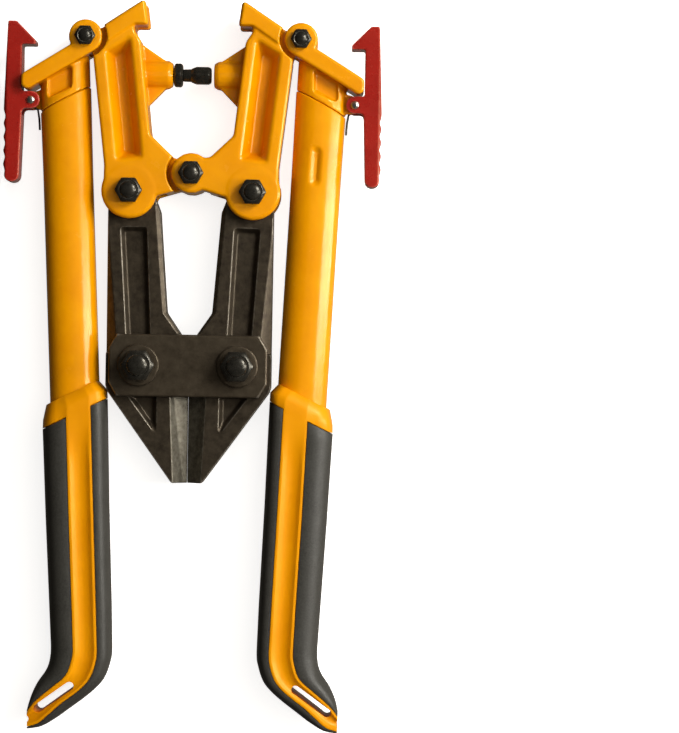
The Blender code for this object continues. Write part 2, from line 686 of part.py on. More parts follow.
def latch_spring():
    """The torsion spring round the rivet: one leg on the tube, one in the latch's clevis."""
    wire = 0.4
    coil = 2.1
    turns = 2.5
    steps = 26
    out, y = LATCH_PIVOT
    points = [Vector((-62.2, 94.8, 0.75)), Vector((-62.4, 99.0, 0.75))]
    for step in range(steps + 1):
        share = step / steps
        angle = math.radians(-160.0) - 2.0 * math.pi * turns * share
        height = 0.75 + 2.1 * share
        points.append(Vector((-out + coil * math.cos(angle), y + coil * math.sin(angle), height)))
    points.append(Vector((-69.6, 109.6, 2.85)))
    curve = bpy.data.curves.new("spring", "CURVE")
    curve.dimensions = "3D"
    curve.bevel_depth = wire * MM
    curve.bevel_resolution = 1
    curve.use_fill_caps = True
    line = curve.splines.new("POLY")
    line.points.add(len(points) - 1)
    for point, place in zip(line.points, points):
        point.co = (*(place * MM), 1.0)
    guide = bpy.data.objects.new("guide", curve)
    bpy.context.scene.collection.objects.link(guide)
    graph = bpy.context.evaluated_depsgraph_get()
    bm = bmesh.new()
    bm.from_mesh(guide.evaluated_get(graph).to_mesh())
    bmesh.ops.remove_doubles(bm, verts=bm.verts, dist=0.01 * MM)
    bpy.data.objects.remove(guide, do_unlink=True)
    return to_object(bm)


# ---------------------------------------------------------------- assembly

def finish(piece, name, pivot, made_of, root, turn=False):
    """Names a piece, sets its origin on its pivot, and turns a right-hand piece over."""
    centre = Vector((-pivot[0], pivot[1], 0.0)) * MM
    piece.data.transform(Matrix.Translation(-centre))
    piece.data.materials.clear()
    piece.data.materials.append(made_of)
    piece.data.shade_smooth()
    piece.data.set_sharp_from_angle(angle=math.radians(32.0))
    piece.name = name
    piece.parent = root
    piece.location = centre
    if turn:
        piece.rotation_euler = (0.0, math.pi, 0.0)
        piece.location.x = -centre.x
    return piece


def finish_pair(piece, name, pivot, made_of, root):
    """The left-hand piece and its right-hand copy, turned half a turn about Y."""
    finish(piece, name + "_left", pivot, made_of, root)
    copy = bpy.data.objects.new(name + "_right", piece.data)
    bpy.context.scene.collection.objects.link(copy)
    copy.parent = root
    copy.rotation_euler = (0.0, math.pi, 0.0)
    copy.location = (-piece.location.x, piece.location.y, piece.location.z)


def mirrored_z(piece):
    """The piece's mirror image in the middle plane, as a new piece."""
    bm = bmesh.new()
    bm.from_mesh(piece.data)
    bmesh.ops.transform(bm, matrix=Matrix.Diagonal((1.0, 1.0, -1.0, 1.0)), verts=bm.verts)
    return to_object(bm)


def build():
    for item in list(bpy.data.objects):
        bpy.data.objects.remove(item, do_unlink=True)
    root = bpy.data.objects.new("tool", None)
    bpy.context.scene.collection.objects.link(root)
    root.location = (0.0, -MIDDLE_Y * MM, LOWEST * MM)

    forged = make_material("forged_steel", (0.045, 0.035, 0.025), 0.45, 0.8)
    black = make_material("black_oxide", (0.012, 0.012, 0.013), 0.3, 0.8)
    yellow = make_material("yellow_paint", (0.86, 0.36, 0.01), 0.3)
    plastic = make_material("yellow_plastic", (0.86, 0.38, 0.01), 0.35)
    rubber = make_material("charcoal_rubber", (0.028, 0.028, 0.026), 0.75)
    red = make_material("red_paint", (0.40, 0.012, 0.012), 0.3)
    silver = make_material("bright_steel", (0.6, 0.6, 0.6), 0.25, 1.0)

    plate_face = JAW_HALF + GAP + PLATE_THICK
    front = finish(jaw_plate(), "jaw_plate_front", (0.0, 0.0), forged, root)
    finish(mirrored_z(front), "jaw_plate_back", (0.0, 0.0), forged, root)
    finish_pair(jaw(), "jaw", JAW_PIVOT, forged, root)

    for side, name in ((1.0, "left"), (-1.0, "right")):
        pivot = (side * JAW_PIVOT[0], JAW_PIVOT[1])
        face = plate_face + GAP
        washer_top = face + 1.4
        finish(bolt(pivot, JAW_BOLT, -LOWEST, -face, 7.2, 20.8), "jaw_bolt_" + name, pivot, black, root)
        finish(washer(pivot, JAW_BOLT, 8.4, face, washer_top), "jaw_washer_" + name, pivot, black, root)
        finish(nut(pivot, JAW_BOLT, washer_top + GAP, 18.6, 6.8), "jaw_nut_" + name, pivot, black, root)
        pivot = (side * TAIL_PIVOT[0], TAIL_PIVOT[1])
        face = FLANGE_HALF + GAP
        finish(bolt(pivot, TAIL_BOLT, -LOWEST, -face, 5.6, 17.2), "tail_bolt_" + name, pivot, black, root)
        finish(nut(pivot, TAIL_BOLT, face, 15.8, 5.6), "tail_nut_" + name, pivot, black, root)
        pivot = (side * FOLD_PIVOT[0], FOLD_PIVOT[1])
        finish(bolt(pivot, FOLD_BOLT, -14.6, -face, 4.3, 15.4), "fold_bolt_" + name, pivot, black, root)
        finish(nut(pivot, FOLD_BOLT, face, 14.4, 4.3), "fold_nut_" + name, pivot, black, root)

    finish(arm(CENTRE_SLACK, True), "arm_left", TAIL_PIVOT, yellow, root)
    finish(arm(GAP, False), "arm_right", TAIL_PIVOT, yellow, root, turn=True)
    face = ARM_HALF + GAP
    flanged = bolt(CENTRE_PIVOT, CENTRE_BOLT, -16.4, -face, 5.2, 16.6, 7.4)
    finish(flanged, "centre_bolt", CENTRE_PIVOT, black, root)
    finish(nut(CENTRE_PIVOT, CENTRE_BOLT, face, 15.2, 5.2), "centre_nut", CENTRE_PIVOT, black, root)
    stop_pivot = (20.0, STOP_LEVEL)
    finish(stop_screw(), "stop_screw", stop_pivot, black, root)
    finish(lock_nut(), "lock_nut", stop_pivot, black, root)

    finish_pair(handle_end(), "handle_end", FOLD_PIVOT, yellow, root)
    finish_pair(tube(), "tube", FOLD_PIVOT, yellow, root)
    finish_pair(grip_core(), "grip_core", FOLD_PIVOT, plastic, root)
    finish_pair(grip_panel("outer"), "grip_panel_outer", FOLD_PIVOT, rubber, root)
    finish_pair(grip_panel("inner"), "grip_panel_inner", FOLD_PIVOT, rubber, root)
    finish_pair(latch(), "latch", LATCH_PIVOT, red, root)
    finish_pair(latch_rivet(), "latch_rivet", LATCH_PIVOT, silver, root)
    finish_pair(latch_spring(), "latch_spring", LATCH_PIVOT, black, root)


build()
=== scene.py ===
"""Looks of the folding bolt cutters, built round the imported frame.

Lengths are in millimetres, measured from the tool's centre line (X), the jaw bolts' level (Y) and the
middle of its thickness (Z). Pieces drawn here are drawn for the left hand, as (distance out, Y), and
turned half a turn about the Y axis for the right hand.
"""
import json
import math
import bmesh
import bpy
import numpy as np
from mathutils import Matrix, Vector


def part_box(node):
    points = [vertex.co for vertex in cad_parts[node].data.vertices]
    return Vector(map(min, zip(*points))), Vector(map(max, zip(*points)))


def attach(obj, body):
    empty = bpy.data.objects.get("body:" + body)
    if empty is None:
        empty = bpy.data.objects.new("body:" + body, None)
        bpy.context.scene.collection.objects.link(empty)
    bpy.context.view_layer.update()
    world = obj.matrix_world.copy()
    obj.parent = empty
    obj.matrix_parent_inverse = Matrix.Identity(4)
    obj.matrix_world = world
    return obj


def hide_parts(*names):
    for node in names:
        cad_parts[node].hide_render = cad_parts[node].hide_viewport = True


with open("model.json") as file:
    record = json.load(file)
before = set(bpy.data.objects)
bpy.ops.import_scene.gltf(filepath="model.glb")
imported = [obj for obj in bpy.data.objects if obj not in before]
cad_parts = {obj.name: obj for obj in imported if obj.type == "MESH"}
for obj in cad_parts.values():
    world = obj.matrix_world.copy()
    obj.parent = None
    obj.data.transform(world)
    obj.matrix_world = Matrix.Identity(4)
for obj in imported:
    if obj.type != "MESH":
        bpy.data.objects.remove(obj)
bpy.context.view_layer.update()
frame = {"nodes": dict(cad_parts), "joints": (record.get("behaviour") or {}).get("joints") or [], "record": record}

MM = 0.001
GAP = 0.3
JOINTS = {joint["name"]: joint for joint in frame["joints"]}
SLOTS = {part["node"]: part["material_slot"] for part in frame["record"]["subparts"]}
BODIES = {node: body for body, nodes in frame["record"]["behaviour"]["bodies"].items() for node in nodes}
CENTRE = Vector((0.0, *JOINTS["jaw_turn_left"]["pos_m"][1:]))     # where the millimetres are measured from
TURN_OVER = Matrix.Translation(CENTRE) @ Matrix.Rotation(math.pi, 4, "Y") @ Matrix.Translation(-CENTRE)

# Tubes
TUBE_WIDTH = 20.2
TUBE_HALF = 8.8
TUBE_WALL = 1.5
TUBE_TOP = Vector((51.8, 107.0))
TUBE_FOOT = Vector((42.6, -88.0))
TUBE_SLANT = math.radians(26.0)
TUBE_SIDES = 96
OVAL_POWER = 0.86            # 1 is an ellipse, and less is squarer
DENT_AT = 25.5               # the stamped dent, down from the tube's top
DENT_OFF = -0.4              # how far it lies towards the tool's outside
DENT_RADIUS = 2.7
DENT_STRAIGHT = 5.2
DENT_DEPTH = 1.3
DENT_END = 0.75              # its ends run out over the radius divided by this
DENT_STEPS = 44
TUBE_WHOLE = 126.0           # down from the top: full width as far as here,
TUBE_NECKED = 136.0          # and narrower from here on, inside the grip
TUBE_NECK = 1.3              # how much narrower, on each side
SLANT_FADE = 30.0            # the top's slant has faded out this far down

# Arm flange, drawn a little proud, and the jaws' cutting edges
FLANGE_OUTLINE = [(35.4, 136.9), (20.2, 147.0), (18.8, 137.9), (23.7, 137.8), (34.4, 130.5)]
FLANGE_HALF = 11.5
EDGE_REACH = 1.6             # an edge is drawn out within this distance of the middle plane
EDGE_GAP = 0.04              # and comes this near to it

# Grips: outer edge, inner edge, the yellow strip's edges as shares of the width, half depth
GRIP_STATIONS = [
    ((58.9, -26.4), (33.0, -13.6), 0.40, 0.77, 12.0),
    ((57.1, -62.0), (31.6, -56.0), 0.40, 0.78, 12.0),
    ((54.9, -100.0), (29.9, -98.0), 0.40, 0.78, 12.0),
    ((54.1, -114.0), (29.4, -115.5), 0.40, 0.785, 12.0),
    ((54.3, -119.0), (30.2, -121.5), 0.39, 0.785, 12.0),
    ((55.0, -122.2), (32.2, -127.2), 0.385, 0.78, 11.9),
    ((56.2, -124.8), (35.2, -131.0), 0.37, 0.775, 11.7),
    ((57.7, -127.0), (39.6, -134.9), 0.34, 0.765, 11.4),
    ((59.3, -129.4), (45.3, -139.2), 0.315, 0.75, 11.0),
    ((61.1, -133.2), (51.4, -143.7), 0.25, 0.76, 10.4),
    ((62.3, -137.0), (57.0, -146.9), 0.18, 0.80, 9.6),
    ((62.8, -139.6), (62.6, -147.9), 0.16, 0.84, 8.8),
]
COLLAR = [
    ((57.6, -16.9), (36.6, -6.6), 0.36, 0.76, 9.7),
    ((58.8, -23.0), (33.2, -10.2), 0.40, 0.77, 12.0),
]
PANEL_THICK = 1.5
SEAT_LIMIT = 0.7
SIDE_STEPS = 16
STATION_STEPS = 6            # rings from one station to the next
STRAIGHT_SPANS = 3           # spans before the grip starts to bend
RIM = 1.0                    # width of the strip's raised rims
TROUGH = 1.4                 # depth between the rims
TROUGH_STEPS = 8
HANG_SLOT = ((45.6, -129.9), (58.4, -139.2), 1.75)      # the hanging slot's ends and radius
END_NOTCH = ((-63.6, -143.6), 1.5)                      # the notch at the grip's end, as ((X, Y), radius)
BORE_FROM = 95.0             # the tube's bore in the grip, down from the tube's top
BORE_TO = 200.0
THROUGH = 20.0               # half the length of a cut that goes right through

# Bolts: shank radius, and how far the head's bearing face is from the middle plane
SHANKS = {"jaw": 3.9, "tail": 3.2, "fold": 2.4, "centre": 2.9}
BEARINGS = {"jaw": 11.6, "tail": 11.1, "fold": 11.1, "centre": 10.9}
BOLT_GROWTH = 0.25           # a bolt's thread fills its nut, so no ring of light shows between them
THREAD_REACH = 4.7           # a bolt's thread, down from its end: as far as here,
THREAD_STOP = 1.9            # and up to here
ROUND_SIDES = 72
CHAMFER_DROP = 0.5           # how far a hexagon's chamfer comes down the middle of each flat
CROWN_SHARE = 0.86           # width of the face inside the chamfer, as a share of the flats
DOME = 1.5                   # height of a bolt's domed end
DOME_STEPS = 10
HEAD_DISH = 0.25             # depth of the dish in a hex head
FLANGED_CORNER = 0.7         # a flanged head's hexagon, as a share of its flange
FLANGE_THICK = 0.8
FLANGE_FOOT = 1.2            # where the hexagon meets the flange's slope
STOP_SHANK = 2.45
STOP_CORNER = 4.0
STOP_NECK = 4.0              # the smooth neck's length
RIVET_SHANK = 1.2
RIVET_DOME = 0.9
RIVET_STEPS = 7
RIVET_SIDES = 32

# Latch springs
WIRE_RADIUS = 0.45
COIL_RADIUS = 2.1
COIL_TURNS = 2.5
COIL_STEPS = 70
COIL_FROM = math.radians(-160.0)
COIL_LOW = 0.75
COIL_RISE = 2.1
TUBE_LEG = [(62.2, 94.8), (62.3, 97.0), (62.5, 99.5), (63.1, 103.0)]
LATCH_LEG = [(68.0, 108.9), (69.6, 109.6)]

# Castings and forgings drawn again: voxel, smoothing passes, share of triangles kept, sharp angle
REMADE = {
    "arm": (0.40, 10, 0.30, 60.0),
    "handle_end": (0.36, 9, 0.35, 60.0),
    "jaw": (0.30, 2, 0.30, 40.0),
    "latch": (0.26, 8, 0.35, 45.0),
    "jaw_plate": (0.32, 3, 0.25, 40.0),
}

# Camera: straight above, with the whole folded tool to the left of the picture's middle
CAMERA_AT = (61.15, 0.8)
CAMERA_UP = 1200.0
VIEW_HEIGHT = 298.0
VIEW_ROLL = math.radians(0.97)
SENSOR = 36.0

# Stage, in metres and watts. A light that isn't mirrored doesn't show in gloss.
FLOOR_REACH = 4.0
FLOOR_DROP = 0.0002
FLOOR_GLOW = 0.90            # a light table, so that little shade falls on the floor
LIGHTS = [                   # name, place, size, power, colour, mirrored
    ("overhead", (0.4, 0.2, 1.6), (1.2, 1.2), 9.0, (1.0, 0.94, 0.84), False),
    ("key", (0.95, 0.65, 0.95), (0.45, 0.45), 17.0, (1.0, 0.97, 0.90), True),
    ("strip", (1.05, 0.05, 0.45), (0.16, 1.3), 11.0, (1.0, 0.97, 0.90), True),
]
WORLD_COLOUR = (1.0, 0.90, 0.76, 1.0)
WORLD_SPANS = [("X", 0.02, 0.26), ("Z", 1.5, 0.35)]     # brightness from one end of an axis to the other

EDGE_MARK = "outward_turn"   # the attribute that holds how sharply a remade piece's surface turns

# Where a jaw's ground bevels are, as ramp stops
CENTIMETRE = 0.01
GROUND_ACROSS = [(0.70, 1.0), (0.79, 0.0)]      # centimetres out from the cutting line
GROUND_TILT = [(0.86, 1.0), (0.93, 0.0)]        # how level the surface is
GROUND_BELOW = [(0.0, 0.0), (0.02, 1.0)]        # decimetres below the jaw bolts


# ---------------------------------------------------------------- meshes

def place(point):
    """A point in millimetres from the tool's centre, as metres in the frame."""
    return CENTRE + Vector(point) * MM


def to_piece(name, bm):
    bmesh.ops.recalc_face_normals(bm, faces=bm.faces)
    mesh = bpy.data.meshes.new(name)
    bm.to_mesh(mesh)
    bm.free()
    piece = bpy.data.objects.new(name, mesh)
    bpy.context.scene.collection.objects.link(piece)
    return piece


def loft(name, rings, closed=False):
    """A skin through rings of points: closed on itself, or capped at both ends."""
    bm = bmesh.new()
    loops = [[bm.verts.new(place(point)) for point in ring] for ring in rings]
    count = len(rings[0])
    pairs = list(zip(loops, loops[1:]))
    if closed:
        pairs.append((loops[-1], loops[0]))
    for lower, upper in pairs:
        for index in range(count):
            following = (index + 1) % count
            bm.faces.new((lower[index], lower[following], upper[following], upper[index]))
    if not closed:
        bm.faces.new(loops[0])
        bm.faces.new(loops[-1])
    return to_piece(name, bm)


def apply_modifiers(piece):
    graph = bpy.context.evaluated_depsgraph_get()
    mesh = bpy.data.meshes.new_from_object(piece.evaluated_get(graph))
    piece.modifiers.clear()
    piece.data = mesh
    return piece


def round_edges(piece, width, segments=2, angle=30.0):
    bevel = piece.modifiers.new("bevel", "BEVEL")
    bevel.width = width * MM
    bevel.segments = segments
    bevel.limit_method = "ANGLE"
    bevel.angle_limit = math.radians(angle)
    return apply_modifiers(piece)


def cut(piece, *tools):
    """Cuts the tools out of the piece, and removes them."""
    for tool in tools:
        modifier = piece.modifiers.new("cut", "BOOLEAN")
        modifier.operation = "DIFFERENCE"
        modifier.object = tool
    apply_modifiers(piece)
    for tool in tools:
        bpy.data.objects.remove(tool, do_unlink=True)


def remade(node, voxel, passes, keep, *added):
    """The node's shape, and any solids added to it, as a fine mesh with edges and inner corners rounded."""
    bm = bmesh.new()
    bm.from_mesh(frame["nodes"][node].data)
    for solid in added:
        bm.from_mesh(solid.data)
        bpy.data.objects.remove(solid, do_unlink=True)
    bmesh.ops.remove_doubles(bm, verts=bm.verts, dist=0.001 * MM)
    piece = to_piece(node + "_skin", bm)
    remesh = piece.modifiers.new("remesh", "REMESH")
    remesh.mode = "VOXEL"
    remesh.voxel_size = voxel * MM
    smooth = piece.modifiers.new("smooth", "SMOOTH")
    smooth.factor = 0.5
    smooth.iterations = passes
    thin = piece.modifiers.new("thin", "DECIMATE")
    thin.ratio = keep
    return mark_edges(apply_modifiers(piece))


def mark_edges(piece, passes=3):
    """Stores on every vertex how sharply the surface turns outward there, in radians per millimetre."""
    mesh = piece.data
    count = len(mesh.vertices)
    spots = np.empty(count * 3)
    mesh.vertices.foreach_get("co", spots)
    spots = spots.reshape(-1, 3) / MM
    normals = np.empty(count * 3)
    mesh.vertices.foreach_get("normal", normals)
    normals = normals.reshape(-1, 3)
    ends = np.empty(len(mesh.edges) * 2, dtype=np.int32)
    mesh.edges.foreach_get("vertices", ends)
    first, second = ends.reshape(-1, 2).T
    apart = spots[first] - spots[second]
    turned = ((normals[first] - normals[second]) * apart).sum(axis=1)
    bend = turned / np.maximum((apart ** 2).sum(axis=1), 1e-6)
    shares = np.bincount(ends, minlength=count)
    turn = (np.bincount(first, bend, count) + np.bincount(second, bend, count)) / shares
    for _ in range(passes):
        around = np.bincount(first, turn[second], count) + np.bincount(second, turn[first], count)
        turn = (turn + around / shares) / 2.0
    mesh.attributes.new(EDGE_MARK, "FLOAT", "POINT").data.foreach_set("value", turn.astype(np.float32))
    return piece


def closed_up(jaw):
    """Draws a jaw's cutting edge out towards the middle plane, so that closed jaws look shut."""
    near = [vertex for vertex in jaw.data.vertices if abs(vertex.co.x - CENTRE.x) < EDGE_REACH * MM]
    nearest = min(abs(vertex.co.x - CENTRE.x) for vertex in near)
    for vertex in near:
        away = vertex.co.x - CENTRE.x
        share = (abs(away) - nearest) / (EDGE_REACH * MM - nearest)
        drawn = (EDGE_GAP + (EDGE_REACH - EDGE_GAP) * share) * MM
        vertex.co.x = CENTRE.x + math.copysign(drawn, away)


def add_remade(kind, side, finishes, *added):
    name = kind + "_" + side
    voxel, passes, keep, sharp = REMADE[kind]
    piece = remade(name, voxel, passes, keep, *added)
    if kind == "jaw":
        closed_up(piece)
    dress(piece, name, finishes, sharp)


def raised_flange(side):
    """The arm's flange stands a little proud of the casting beside it."""
    piece = prism("flange", FLANGE_OUTLINE, -FLANGE_HALF, FLANGE_HALF)
    if side == "left":
        return piece
    turned = turned_over(piece, "flange_turned")
    bpy.data.objects.remove(piece, do_unlink=True)
    return turned


def turned_over(piece, name):
    """The right-hand copy of a left-hand piece."""
    bm = bmesh.new()
    bm.from_mesh(piece.data)
    bmesh.ops.transform(bm, matrix=TURN_OVER, verts=bm.verts)
    return to_piece(name, bm)


def dress(piece, node, finishes, sharp=32.0):
    """Gives a piece its node's finish and body, and puts it in the node's place."""
    piece.data.materials.clear()
    piece.data.materials.append(finishes[SLOTS[node]])
    piece.data.shade_smooth()
    piece.data.set_sharp_from_angle(angle=math.radians(sharp))
    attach(piece, BODIES[node])
    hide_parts(node)


# ---------------------------------------------------------------- fasteners

def circle(centre, radius, z, sides=ROUND_SIDES):
    points = []
    for step in range(sides):
        angle = 2.0 * math.pi * step / sides
        points.append((centre[0] + radius * math.cos(angle), centre[1] + radius * math.sin(angle), z))
    return points


def chamfered_hexagon(centre, corner, z, inward):
    """A hexagon's edge where a cone has chamfered it: the corners lie further in than the flats."""
    flat = corner * math.cos(math.pi / 6.0)
    points = []
    for step in range(ROUND_SIDES):
        angle = 2.0 * math.pi * step / ROUND_SIDES
        off_flat = (angle % (math.pi / 3.0)) - math.pi / 6.0
        radius = min(flat / math.cos(off_flat), corner * 0.985)
        drop = CHAMFER_DROP + (radius - flat) * math.tan(math.radians(32.0))
        points.append((centre[0] + radius * math.cos(angle), centre[1] + radius * math.sin(angle),
                       z + inward * drop))
    return points


def nut_rings(centre, bore, corner, low, high):
    flat = corner * math.cos(math.pi / 6.0)
    return [
        circle(centre, bore, low), circle(centre, flat * CROWN_SHARE, low),
        chamfered_hexagon(centre, corner, low, 1.0), chamfered_hexagon(centre, corner, high, -1.0),
        circle(centre, flat * CROWN_SHARE, high), circle(centre, bore + 0.15, high),
        circle(centre, bore, high - 0.15),
    ]


def thread_rings(centre, radius, low, high, pitch=0.7):
    """Fine ridges along a shank."""
    rings = []
    turns = max(1, round((high - low) / pitch))
    for turn in range(turns):
        z = low + (high - low) * turn / turns
        rings += [circle(centre, radius - 0.22, z), circle(centre, radius, z + 0.4 * (high - low) / turns)]
    return rings


def bolt_rings(centre, shank, corner, low, bearing, end, flange):
    """Chamfered hex head below, shank, and a domed end."""
    flat = corner * math.cos(math.pi / 6.0)
    rings = [circle(centre, flat * 0.5, low + HEAD_DISH), circle(centre, flat * 0.6, low)]
    rings += [circle(centre, flat * CROWN_SHARE, low), chamfered_hexagon(centre, corner, low, 1.0)]
    if flange:
        rings.append(chamfered_hexagon(centre, corner, bearing - FLANGE_FOOT, 0.0))
        rings += [circle(centre, flange, bearing - FLANGE_THICK), circle(centre, flange, bearing)]
    else:
        rings.append(chamfered_hexagon(centre, corner, bearing, 0.0))
    rings += [circle(centre, shank, bearing), circle(centre, shank, end - THREAD_REACH)]
    shank += BOLT_GROWTH
    rings += thread_rings(centre, shank, end - THREAD_REACH + 0.1, end - THREAD_STOP)
    for step in range(DOME_STEPS):
        slope = math.pi / 2.0 * step / DOME_STEPS
        rings.append(circle(centre, shank * math.cos(slope), end - DOME * (1.0 - math.sin(slope))))
    return rings


def local_box(node):
    """A node's box in millimetres from the tool's centre."""
    low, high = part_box(node)
    return (low - CENTRE) / MM, (high - CENTRE) / MM


def add_bolt(node, finishes):
    kind = node.split("_")[0]
    low, high = local_box(node)
    centre = ((low.x + high.x) / 2.0, (low.y + high.y) / 2.0)
    widest = (high.x - low.x) / 2.0
    flange = widest if kind == "centre" else 0.0
    corner = widest * FLANGED_CORNER if flange else widest
    rings = bolt_rings(centre, SHANKS[kind], corner, low.z, -BEARINGS[kind], high.z, flange)
    piece = loft(node + "_skin", rings)
    dress(round_edges(piece, 0.1, 2, 28.0), node, finishes)


def add_nut(node, finishes):
    kind = node.split("_")[0]
    low, high = local_box(node)
    centre = ((low.x + high.x) / 2.0, (low.y + high.y) / 2.0)
    rings = nut_rings(centre, SHANKS[kind] + BOLT_GROWTH, (high.x - low.x) / 2.0, low.z, high.z)
    piece = loft(node + "_skin", rings, closed=True)
    dress(round_edges(piece, 0.12, 2, 28.0), node, finishes)


def add_washer(node, finishes):
    low, high = local_box(node)
    centre = ((low.x + high.x) / 2.0, (low.y + high.y) / 2.0)
    radius = (high.x - low.x) / 2.0
    bore = SHANKS["jaw"] + GAP
    rings = [circle(centre, bore, low.z), circle(centre, radius, low.z), circle(centre, radius, high.z - 0.3),
             circle(centre, radius - 0.4, high.z), circle(centre, bore, high.z)]
    piece = loft(node + "_skin", rings, closed=True)
    dress(round_edges(piece, 0.2, 2, 25.0), node, finishes)


def upright(rings, level):
    """Rings drawn along Z about (0, 0), laid along -X at a level in Y."""
    return [[(-z, level + y, x) for x, y, z in ring] for ring in rings]


def add_stop_screw(finishes):
    """A long chamfered hex head on a smooth neck, and a threaded shank inside the boss."""
    low, high = local_box("stop_screw")
    level = (low.y + high.y) / 2.0
    middle = (0.0, 0.0)
    head_from = -high.x
    rings = [circle(middle, 2.3, head_from), circle(middle, 3.0, head_from + 0.1)]
    rings.append(chamfered_hexagon(middle, STOP_CORNER, head_from + 0.4, 1.0))
    rings.append(chamfered_hexagon(middle, STOP_CORNER, -0.4, -1.0))
    rings += [circle(middle, 2.9, 0.7), circle(middle, STOP_SHANK + 0.15, 1.1)]
    rings.append(circle(middle, STOP_SHANK + 0.05, STOP_NECK))
    rings += thread_rings(middle, STOP_SHANK, STOP_NECK + 0.4, -low.x - 0.8)
    rings.append(circle(middle, STOP_SHANK - 0.6, -low.x))
    dress(round_edges(loft("stop_screw_skin", upright(rings, level)), 0.12, 2, 28.0), "stop_screw", finishes)


def add_lock_nut(finishes):
    low, high = local_box("lock_nut")
    level = (low.y + high.y) / 2.0
    rings = nut_rings((0.0, 0.0), STOP_SHANK + GAP, (high.y - low.y) / 2.0, -high.x, -low.x)
    piece = loft("lock_nut_skin", upright(rings, level), closed=True)
    dress(round_edges(piece, 0.15, 2, 25.0), "lock_nut", finishes)


def add_rivet(node, finishes):
    """A rivet with a low dome at each end."""
    low, high = local_box(node)
    centre = ((low.x + high.x) / 2.0, (low.y + high.y) / 2.0)
    radius = (high.x - low.x) / 2.0
    rim = high.z - RIVET_DOME
    profile = [(RIVET_SHANK, rim)]
    for step in range(RIVET_STEPS):
        angle = math.pi / 2.0 * step / RIVET_STEPS
        profile.append((radius * math.cos(angle), rim + RIVET_DOME * math.sin(angle)))
    rings = [circle(centre, r, -z, RIVET_SIDES) for r, z in reversed(profile)]
    rings += [circle(centre, r, z, RIVET_SIDES) for r, z in profile]
    dress(loft(node + "_skin", rings), node, finishes, 50.0)


# ---------------------------------------------------------------- tubes

def tube_ring(distance, inset, slant=0.0):
    """A squarish oval round the tube, at a distance down from its top."""
    down = (TUBE_FOOT - TUBE_TOP).normalized()
    across = Vector((-down.y, down.x))
    middle = TUBE_TOP + down * distance
    points = []
    for step in range(TUBE_SIDES):
        angle = 2.0 * math.pi * step / TUBE_SIDES
        off = math.copysign(abs(math.cos(angle)) ** OVAL_POWER, math.cos(angle)) * (TUBE_WIDTH / 2.0 - inset)
        z = math.copysign(abs(math.sin(angle)) ** OVAL_POWER, math.sin(angle)) * (TUBE_HALF - inset)
        if z < 0.0:
            z += dent(distance, off)
        points.append((-middle.x - across.x * off, middle.y + across.y * off - off * math.tan(slant), z))
    return points


def dent(distance, off):
    """How deep the stamped dent is there: a narrow groove whose sides and ends run out softly."""
    beyond = max(abs(distance - DENT_AT) - DENT_STRAIGHT, 0.0)
    share = math.hypot(beyond * DENT_END, off - DENT_OFF) / DENT_RADIUS
    if share >= 1.0:
        return 0.0
    return DENT_DEPTH * math.cos(math.pi / 2.0 * share) ** 2


def slant_at(distance):
    """The slant of the tube's rings: the top's own, running out below it."""
    return TUBE_SLANT * max(0.0, 1.0 - distance / SLANT_FADE)


def add_tubes(finishes):
    length = (TUBE_FOOT - TUBE_TOP).length
    stops = [0.4, 2.0, 6.0, 11.0]
    around_dent = DENT_STRAIGHT + DENT_RADIUS / DENT_END + 0.5
    for step in range(DENT_STEPS + 1):
        stops.append(DENT_AT - around_dent + 2.0 * around_dent * step / DENT_STEPS)
    stops += [44.0 + 9.0 * step for step in range(10)]
    narrow = TUBE_NECK + TUBE_WALL
    skin = [tube_ring(0.0, 0.35, TUBE_SLANT)]
    skin += [tube_ring(stop, 0.0, slant_at(stop)) for stop in stops + [TUBE_WHOLE]]
    skin += [tube_ring(TUBE_NECKED, TUBE_NECK), tube_ring(length, TUBE_NECK)]
    lining = [tube_ring(length, narrow), tube_ring(TUBE_NECKED, narrow), tube_ring(TUBE_WHOLE, TUBE_WALL)]
    lining += [tube_ring(stop, TUBE_WALL, slant_at(stop)) for stop in reversed(stops)]
    lining.append(tube_ring(0.0, TUBE_WALL, TUBE_SLANT))
    piece = loft("tube_left_skin", skin + lining, closed=True)
    right = turned_over(piece, "tube_right_skin")
    dress(piece, "tube_left", finishes)
    dress(right, "tube_right", finishes)


# ---------------------------------------------------------------- grips

def between(stations):
    """The stations with steps between them: straight at first, then along a Catmull-Rom curve."""
    rows = [[*outer, *inner, first, second, depth] for outer, inner, first, second, depth in stations]
    smooth = []
    for index in range(len(rows) - 1):
        before = rows[max(index - 1, 0)]
        here, after = rows[index], rows[index + 1]
        beyond = rows[min(index + 2, len(rows) - 1)]
        for step in range(STATION_STEPS):
            t = step / STATION_STEPS
            if index < STRAIGHT_SPANS:
                smooth.append([a + (b - a) * t for a, b in zip(here, after)])
                continue
            row = []
            for p, a, b, n in zip(before, here, after, beyond):
                row.append(0.5 * (2.0 * a + (b - p) * t + (2.0 * p - 5.0 * a + 4.0 * b - n) * t * t
                                  + (3.0 * a - p - 3.0 * b + n) * t * t * t))
            smooth.append(row)
    smooth.append(rows[-1])
    return [((row[0], row[1]), (row[2], row[3]), row[4], row[5], row[6]) for row in smooth]


def grip_side(share_edge, share_strip, depth, inset):
    """Points from the strip's edge round one side of the grip, front to back, as (share, Z)."""
    points = []
    for step in range(SIDE_STEPS + 1):
        angle = math.pi / 2.0 - math.pi * step / SIDE_STEPS
        across = math.copysign(abs(math.cos(angle)) ** 0.6, math.cos(angle))
        height = math.copysign(abs(math.sin(angle)) ** 0.8, math.sin(angle))
        points.append((share_strip + (share_edge - share_strip) * across, height * (depth - inset)))
    return points


def grip_width(station):
    return (Vector(station[0]) - Vector(station[1])).length


